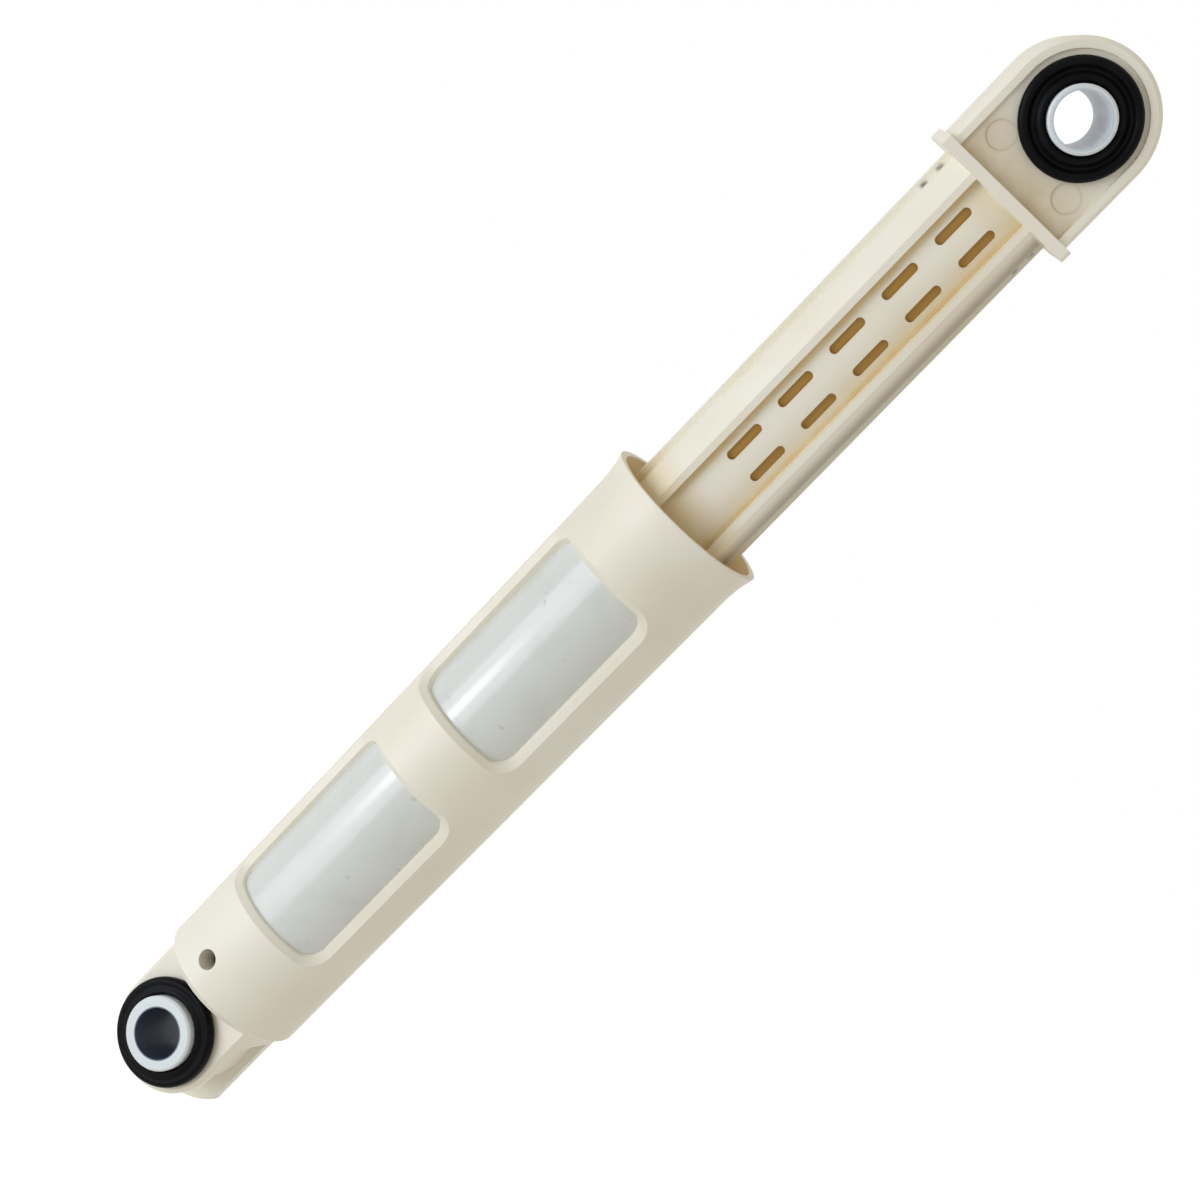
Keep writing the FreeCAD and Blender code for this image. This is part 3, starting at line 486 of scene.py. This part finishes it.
    # Two small dark spots in each root of the fins, a few millimetres under the flange.
    from_pair = add_node(tree, "ShaderNodeMath", {
        0: height, 1: sizes.flange_height - sizes.dot_drop}, operation="SUBTRACT")
    folded = add_node(tree, "ShaderNodeMath", {0: from_pair}, operation="ABSOLUTE")
    from_spot = add_node(tree, "ShaderNodeMath", {0: folded, 1: sizes.dot_half_gap}, operation="SUBTRACT")
    off_spot = add_node(tree, "ShaderNodeMath", {0: from_spot}, operation="ABSOLUTE")
    spots = add_node(tree, "ShaderNodeMapRange", {
        "Value": off_spot, "From Min": sizes.dot_length, "From Max": sizes.dot_core})
    from_root = add_node(tree, "ShaderNodeMath", {0: across, 1: sizes.fin_root}, operation="SUBTRACT")
    from_fin = add_node(tree, "ShaderNodeMath", {0: inward, 1: sizes.fin_half_thick}, operation="SUBTRACT")
    off_corner = add_node(tree, "ShaderNodeCombineXYZ", {"X": from_root, "Y": from_fin})
    gap = add_node(tree, "ShaderNodeVectorMath", {0: off_corner}, operation="LENGTH").outputs["Value"]
    rooted = add_node(tree, "ShaderNodeMapRange", {
        "Value": gap, "From Min": sizes.dot_width, "From Max": sizes.dot_core})
    specks = add_node(tree, "ShaderNodeTexNoise", {"Vector": place, "Scale": per_mm(1.3), "Detail": 3.0})
    broken = add_node(tree, "ShaderNodeMapRange", {
        "Value": specks, "From Min": 0.3, "From Max": 0.6,
        "To Min": wear.least_dot, "To Max": wear.most_dot})
    spotted = add_node(tree, "ShaderNodeMath", {0: spots, 1: rooted}, operation="MULTIPLY")
    rubbed = add_node(tree, "ShaderNodeMath", {0: spotted, 1: broken}, operation="MULTIPLY")
    dots = add_node(tree, "ShaderNodeMath", {0: rubbed, 1: stem}, operation="MULTIPLY")
    marked = add_node(tree, "ShaderNodeMix", {
        "Factor": dots, "A": ridge_shaded, "B": colours.scuff}, data_type="RGBA")
    link(tree, marked, shader.inputs["Base Color"])
    return material


def plated_steel(colours, wear):
    """Zinc-plated steel under its white passivation film: as pale as paint, with a soft streak."""
    # The film hides the metal's own mirror, so the shader isn't metallic.
    material, tree, shader, place = start_material("zinc_plated_steel", {"Metallic": 0.0})
    smears = add_node(tree, "ShaderNodeTexNoise", {"Vector": place, "Scale": per_mm(9), "Detail": 4.0})
    patches = add_node(tree, "ShaderNodeMapRange", {"Value": smears, "From Min": 0.5, "From Max": 0.72})
    tone = add_node(tree, "ShaderNodeMix", {
        "Factor": patches, "A": colours.steel, "B": colours.steel_smudge}, data_type="RGBA")
    rubs = add_node(tree, "ShaderNodeTexNoise", {"Vector": place, "Scale": per_mm(3), "Detail": 4.0})
    specks = add_node(tree, "ShaderNodeMapRange", {
        "Value": rubs, "From Min": 0.66, "From Max": 0.76, "To Max": wear.tube_specks})
    specked = add_node(tree, "ShaderNodeMix", {
        "Factor": specks, "A": tone, "B": colours.steel_speck}, data_type="RGBA")
    link(tree, specked, shader.inputs["Base Color"])
    gloss = add_node(tree, "ShaderNodeMapRange", {"Value": smears, "To Min": 0.14, "To Max": 0.24})
    link(tree, gloss, shader.inputs["Roughness"])
    # Draw lines are finer than 0.1 mm across, and are drawn coarser here so that they show.
    drawn = add_node(tree, "ShaderNodeMapping", {
        "Vector": place, "Scale": (per_mm(0.5), per_mm(0.5), per_mm(60))})
    lines = add_node(tree, "ShaderNodeTexNoise", {"Vector": drawn, "Scale": 1.0, "Detail": 2.0})
    skin = add_node(tree, "ShaderNodeBump", {"Height": lines, "Distance": 0.02 * MM, "Strength": 0.2})
    link(tree, skin, shader.inputs["Normal"])
    return material


def moulded_rubber(colours):
    """Black moulded rubber: dull, with a dusty bloom and a soft sheen on its rounded rings."""
    material, tree, shader, place = start_material("moulded_rubber", {
        "IOR": 1.52, "Specular IOR Level": 0.06})
    dust = add_node(tree, "ShaderNodeTexNoise", {"Vector": place, "Scale": per_mm(3.5), "Detail": 4.0})
    bloom = add_node(tree, "ShaderNodeMapRange", {"Value": dust, "From Min": 0.45, "From Max": 0.75})
    tone = add_node(tree, "ShaderNodeMix", {
        "Factor": bloom, "A": colours.rubber, "B": colours.rubber_bloom}, data_type="RGBA")
    link(tree, tone, shader.inputs["Base Color"])
    gloss = add_node(tree, "ShaderNodeMapRange", {"Value": dust, "To Min": 0.3, "To Max": 0.46})
    link(tree, gloss, shader.inputs["Roughness"])
    # The mould's grain is about 0.1 mm here too, and is drawn coarser so that it shows.
    grain = add_node(tree, "ShaderNodeTexNoise", {"Vector": place, "Scale": per_mm(0.4), "Detail": 2.0})
    skin = add_node(tree, "ShaderNodeBump", {"Height": grain, "Distance": 0.03 * MM, "Strength": 0.3})
    link(tree, skin, shader.inputs["Normal"])
    return material


def sleeve_acetal(name, colours, bore, centre, axis_turn, sizes):
    """Bluish white moulded acetal: slightly waxy and see-through, its bore painted in a colour that stands
    for the shade inside it.
    """
    material, tree, shader, place = start_material(name, {
        "IOR": 1.48,
        "Subsurface Weight": 0.3,
        "Subsurface Radius": (0.8, 0.9, 1.0),
        "Subsurface Scale": 1.0 * MM,
    })
    centred = add_node(tree, "ShaderNodeVectorMath", {0: place, 1: centre}, operation="SUBTRACT")
    turned = add_node(tree, "ShaderNodeMapping", {"Vector": centred, "Rotation": (0, 0, -axis_turn)})
    along = add_node(tree, "ShaderNodeSeparateXYZ", {"Vector": turned}).outputs
    round_the_bore = add_node(tree, "ShaderNodeCombineXYZ", {"X": along["X"], "Y": along["Z"]})
    radius = add_node(tree, "ShaderNodeVectorMath", {0: round_the_bore}, operation="LENGTH").outputs["Value"]
    inside = add_node(tree, "ShaderNodeMapRange", {
        "Value": radius, "From Min": sizes.bore_radius + THIN, "From Max": sizes.bore_radius})
    # Painted shade on the bore's wall.
    tone = add_node(tree, "ShaderNodeMix", {
        "Factor": inside, "A": colours.sleeve, "B": bore}, data_type="RGBA")
    link(tree, tone, shader.inputs["Base Color"])
    wear = add_node(tree, "ShaderNodeTexNoise", {"Vector": place, "Scale": per_mm(2), "Detail": 3.0})
    gloss = add_node(tree, "ShaderNodeMapRange", {"Value": wear, "To Min": 0.24, "To Max": 0.42})
    link(tree, gloss, shader.inputs["Roughness"])
    skin = add_node(tree, "ShaderNodeBump", {"Height": wear, "Distance": 0.02 * MM, "Strength": 0.2})
    link(tree, skin, shader.inputs["Normal"])
    return material


def greased_felt(colours):
    """Felted foam soaked in grease: matt matted fibres, darker where the grease has gathered."""
    material, tree, shader, place = start_material("greased_felt", {"IOR": 1.47})
    fibres = add_node(tree, "ShaderNodeTexNoise", {
        "Vector": place, "Scale": per_mm(0.6), "Detail": 4.0, "Distortion": 1.5})
    tone = add_node(tree, "ShaderNodeMix", {
        "Factor": fibres, "A": colours.lining, "B": colours.lining_fibre}, data_type="RGBA")
    link(tree, tone, shader.inputs["Base Color"])
    gloss = add_node(tree, "ShaderNodeMapRange", {"Value": fibres, "To Min": 0.4, "To Max": 0.85})
    link(tree, gloss, shader.inputs["Roughness"])
    skin = add_node(tree, "ShaderNodeBump", {"Height": fibres, "Distance": 0.15 * MM, "Strength": 0.6})
    link(tree, skin, shader.inputs["Normal"])
    return material


def dress(node, material):
    """Give a CAD node its finish."""
    bpy.data.objects[node].material_slots[0].material = material


def bush_outline(sizes, seat, hole, groove):
    """Outline of a bush as (radius, distance along its bore): a waist between two ringed collars."""
    top = seat + sizes.collar_height
    lip = sizes.collar_radius - sizes.waist_radius
    face = sizes.collar_radius - hole
    inner_drop = 0.3 * MM
    inner_slope = 0.1 * MM
    outer_drop = 0.3 * MM
    outer_slope = 0.35 * MM
    rounded_edge = 1.1 * MM
    seat_edge = 0.6 * MM
    half = [
        # Inner bead, beside the sleeve
        (hole, top - inner_drop),
        (hole + 0.12 * face, top),
        (hole + 0.3 * face, top - inner_slope),
        # Ring groove
        (hole + 0.5 * face, top - groove),
        # Outer bead and the collar's rounded side
        (hole + 0.66 * face, top - outer_drop),
        (hole + 0.88 * face, top - outer_slope),
        (sizes.collar_radius, top - rounded_edge),
        (sizes.collar_radius, seat + seat_edge),
        # Underside of the collar and start of the waist
        (sizes.collar_radius - 0.25 * lip, seat),
        (sizes.waist_radius, seat),
        (sizes.waist_radius, seat - seat_edge),
    ]
    return half + [(radius, -along) for radius, along in reversed(half)]


def turn_bush(name, outline, centre, axis, steps):
    """Draw the outline as a chain of edges, spin it about the bore and round it by subdivision."""
    outward = Vector((axis.y, -axis.x, 0))
    points = [centre + outward * radius + axis * along for radius, along in outline]
    bpy.ops.object.select_all(action="DESELECT")
    bpy.ops.mesh.primitive_plane_add(size=SEED_SIDE, enter_editmode=True)
    bush = bpy.context.object
    bush.name = name
    bpy.ops.mesh.merge(type="CENTER")
    bpy.ops.transform.translate(value=points[0])
    for before, after in zip(points, points[1:] + points[:1]):
        bpy.ops.mesh.extrude_vertices_move(TRANSFORM_OT_translate={"value": after - before})
    bpy.ops.mesh.select_all(action="SELECT")
    bpy.ops.mesh.remove_doubles(threshold=MERGE_GAP)
    bpy.ops.mesh.spin(steps=steps, angle=2 * math.pi, center=centre, axis=axis)
    bpy.ops.mesh.select_all(action="SELECT")
    bpy.ops.mesh.remove_doubles(threshold=MERGE_GAP)
    bpy.ops.mesh.normals_make_consistent(inside=False)
    bpy.ops.object.mode_set(mode="OBJECT")
    rounding = bush.modifiers.new("rounding", "SUBSURF")
    rounding.levels = SUBDIVISIONS
    rounding.render_levels = SUBDIVISIONS
    bpy.ops.object.modifier_apply(modifier=rounding.name)
    bpy.ops.object.shade_smooth()
    return bush


class FinishMouldings(bpy.types.Operator):
    """Give the barrel and the plunger their ivory plastic"""

    bl_idname = "damper.finish_mouldings"
    bl_label = "Finish Mouldings"

    def execute(self, context):
        scene = context.scene
        finish = (scene.damper_colours, scene.damper_wear, scene.damper_sizes)
        dress("barrel", mouth_polyamide(*finish))
        dress("plunger", greased_polyamide(*finish))
        return {"FINISHED"}


class FinishFriction(bpy.types.Operator):
    """Give the steel tube and the lining that rubs on it their finishes"""

    bl_idname = "damper.finish_friction"
    bl_label = "Finish Tube and Lining"

    def execute(self, context):
        scene = context.scene
        dress("friction_tube", plated_steel(scene.damper_colours, scene.damper_wear))
        dress("friction_lining", greased_felt(scene.damper_colours))
        return {"FINISHED"}


class FinishSleeves(bpy.types.Operator):
    """Give the two sleeves their bluish plastic and each bore its painted shade"""

    bl_idname = "damper.finish_sleeves"
    bl_label = "Finish Sleeves"

    def execute(self, context):
        colours = context.scene.damper_colours
        sizes = context.scene.damper_sizes
        dress("lower_sleeve", sleeve_acetal(
            "lower_acetal", colours, colours.lower_bore_shade, LOWER_CENTRE, LOWER_TURN, sizes))
        dress("upper_sleeve", sleeve_acetal(
            "upper_acetal", colours, colours.upper_bore_shade, UPPER_CENTRE, UPPER_TURN, sizes))
        return {"FINISHED"}


class ModelBushes(bpy.types.Operator):
    """Model the two soft bushes in place of their plain solids"""

    bl_idname = "damper.model_bushes"
    bl_label = "Model Bushes"

    def execute(self, context):
        sizes = context.scene.damper_sizes
        rubber = moulded_rubber(context.scene.damper_colours)
        lower = bush_outline(sizes, sizes.lower_seat, sizes.lower_hole, sizes.lower_groove)
        upper = bush_outline(sizes, sizes.upper_seat, sizes.upper_hole, sizes.upper_groove)
        places = [
            ("lower_bush", "barrel", lower, LOWER_CENTRE, LOWER_AXIS),
            ("upper_bush", "plunger", upper, UPPER_CENTRE, UPPER_AXIS),
        ]
        for node, body, outline, centre, axis in places:
            bush = turn_bush("soft_" + node, outline, centre, axis, sizes.bush_steps)
            bush.data.materials.append(rubber)
            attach(bush, body)
            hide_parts(node)
        return {"FINISHED"}


def add_lamp(name, place, across, tint, watts, aim):
    """Stand a soft lamp at a place, facing the damper, and return it."""
    facing = (Vector(place) - aim).to_track_quat("Z", "Y").to_euler()
    bpy.ops.object.light_add(type="AREA", location=place, rotation=facing)
    lamp = bpy.context.object
    lamp.name = name
    lamp.data.shape = "RECTANGLE"
    lamp.data.size, lamp.data.size_y = across
    lamp.data.color = tint[:3]
    lamp.data.energy = watts
    return lamp


def seen_directly(tree):
    """Tell rays that show the background, straight or in a shiny surface, from those that give light."""
    path = add_node(tree, "ShaderNodeLightPath").outputs
    shiny = add_node(tree, "ShaderNodeMath", {
        0: path["Is Glossy Ray"], 1: path["Is Transmission Ray"]}, operation="MAXIMUM")
    return add_node(tree, "ShaderNodeMath", {0: path["Is Camera Ray"], 1: shiny}, operation="MAXIMUM")


def white_floor(stage):
    """Pale matt board that shows as white, and darkens a little in the damper's shadow."""
    material = bpy.data.materials.new("pale_board")
    material.use_nodes = True
    tree = material.node_tree
    board = add_node(tree, "ShaderNodeBsdfDiffuse", {"Color": stage.floor_tint})
    glow = add_node(tree, "ShaderNodeEmission", {"Color": WHITE, "Strength": stage.floor_glow})
    shown = add_node(tree, "ShaderNodeAddShader", {0: board, 1: glow})
    mixed = add_node(tree, "ShaderNodeMixShader", {0: seen_directly(tree), 1: board, 2: shown})
    link(tree, mixed, tree.nodes["Material Output"].inputs["Surface"])
    return material


def white_room(stage):
    """White surroundings that light the damper softly, and less than they show."""
    room = bpy.data.worlds.new("white_room")
    room.use_nodes = True
    tree = room.node_tree
    background = tree.nodes["Background"]
    shown = seen_directly(tree)
    tint = add_node(tree, "ShaderNodeMix", {
        "Factor": shown, "A": stage.room_tint, "B": WHITE}, data_type="RGBA")
    link(tree, tint, background.inputs["Color"])
    level = add_node(tree, "ShaderNodeMapRange", {
        "Value": shown, "To Min": stage.ambient, "To Max": 1.0})
    link(tree, level, background.inputs["Strength"])
    return room


class SetStage(bpy.types.Operator):
    """Set up the white room, the floor, the lamps and the camera"""

    bl_idname = "damper.set_stage"
    bl_label = "Set Stage"

    def execute(self, context):
        scene = context.scene
        stage = scene.damper_stage
        scene.view_settings.view_transform = "Standard"
        scene.world = white_room(stage)
        aim = Vector((0, 0, stage.aim_height))

        bpy.ops.object.select_all(action="DESELECT")
        bpy.ops.mesh.primitive_plane_add(size=stage.floor_side)
        floor = context.object
        floor.name = "floor"
        bpy.ops.object.mode_set(mode="EDIT")
        bpy.ops.transform.translate(value=(0, 0, CAD_BOX[0][2] - stage.floor_gap))
        bpy.ops.object.mode_set(mode="OBJECT")
        floor.data.materials.append(white_floor(stage))

        add_lamp("key", stage.key_place, stage.key_size, stage.key_tint, stage.key_power, aim)
        streak = add_lamp("streak", stage.streak_place, stage.streak_size, stage.streak_tint,
                          stage.streak_power, aim)
        # The small lamp shows only as the streak in shiny surfaces, and adds no light to matt ones.
        streak.visible_diffuse = False
        add_lamp("edge", stage.edge_place, stage.edge_size, stage.edge_tint, stage.edge_power, aim)

        turn = Matrix.Rotation(stage.azimuth, 4, "Z")
        tilt = Matrix.Rotation(math.pi / 2 - stage.elevation, 4, "X")
        pose = turn @ tilt @ Matrix.Rotation(stage.roll, 4, "Z")
        back = (pose @ Vector((0, 0, 1, 0))).to_3d()
        bpy.ops.object.camera_add(location=aim + back * stage.distance, rotation=pose.to_euler())
        camera = context.object
        camera.data.lens = stage.lens
        camera.data.shift_x, camera.data.shift_y = stage.shift
        camera.data.clip_start = stage.near_clip
        scene.camera = camera
        return {"FINISHED"}


STEPS = (FinishMouldings, FinishFriction, FinishSleeves, ModelBushes, SetStage)


class DamperPanel(bpy.types.Panel):
    """Sidebar panel with the damper's steps in order"""

    bl_idname = "VIEW3D_PT_damper"
    bl_label = "Damper"
    bl_space_type = "VIEW_3D"
    bl_region_type = "UI"
    bl_category = "Damper"

    def draw(self, context):
        for step in STEPS:
            self.layout.operator(step.bl_idname)


GROUPS = {
    "damper_colours": DamperColours,
    "damper_wear": DamperWearAndShade,
    "damper_sizes": DamperSizes,
    "damper_stage": DamperStage,
}


def register():
    for entry in (*GROUPS.values(), *STEPS, DamperPanel):
        bpy.utils.register_class(entry)
    for name, group in GROUPS.items():
        setattr(bpy.types.Scene, name, PointerProperty(type=group))


def unregister():
    for name in GROUPS:
        delattr(bpy.types.Scene, name)
    for entry in (DamperPanel, *reversed(STEPS), *GROUPS.values()):
        bpy.utils.unregister_class(entry)


def main():
    register()
    bpy.ops.damper.finish_mouldings()
    bpy.ops.damper.finish_friction()
    bpy.ops.damper.finish_sleeves()
    bpy.ops.damper.model_bushes()
    bpy.ops.damper.set_stage()


if __name__ == "__main__":
    main()
